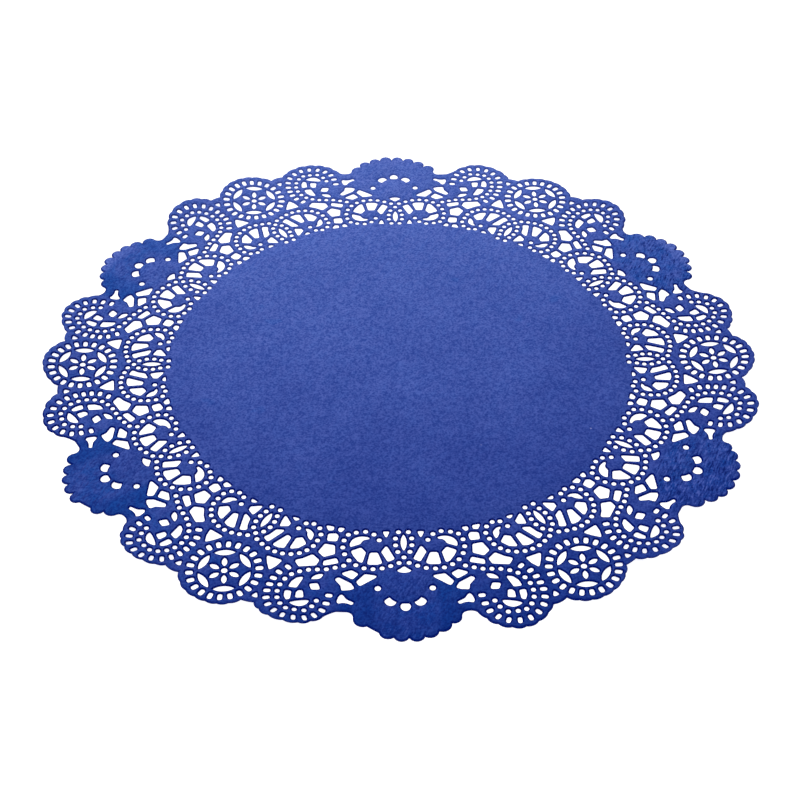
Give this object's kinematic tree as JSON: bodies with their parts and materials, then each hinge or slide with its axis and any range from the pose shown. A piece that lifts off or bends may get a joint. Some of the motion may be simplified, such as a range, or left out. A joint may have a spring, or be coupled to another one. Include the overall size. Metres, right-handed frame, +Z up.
{
  "type": "lace paper doily",
  "caption": "Round flat paper doily with a plain middle and a die-cut lace rim of arches, dotted lobes, rosettes and toothed fans.",
  "frame": {"origin": "middle of the sheet, on the surface that it lies on", "axes": "+Z up out of the sheet; +Y along the axis of one toothed fan, and a fan every 60 degrees from it"},
  "size_m": [0.3042, 0.3034, 0.0041],
  "materials": {
    "paper": "matt embossed paper, deep blue"
  },
  "bodies": {
    "root": {"doily": "paper"}
  },
  "joints": []
}
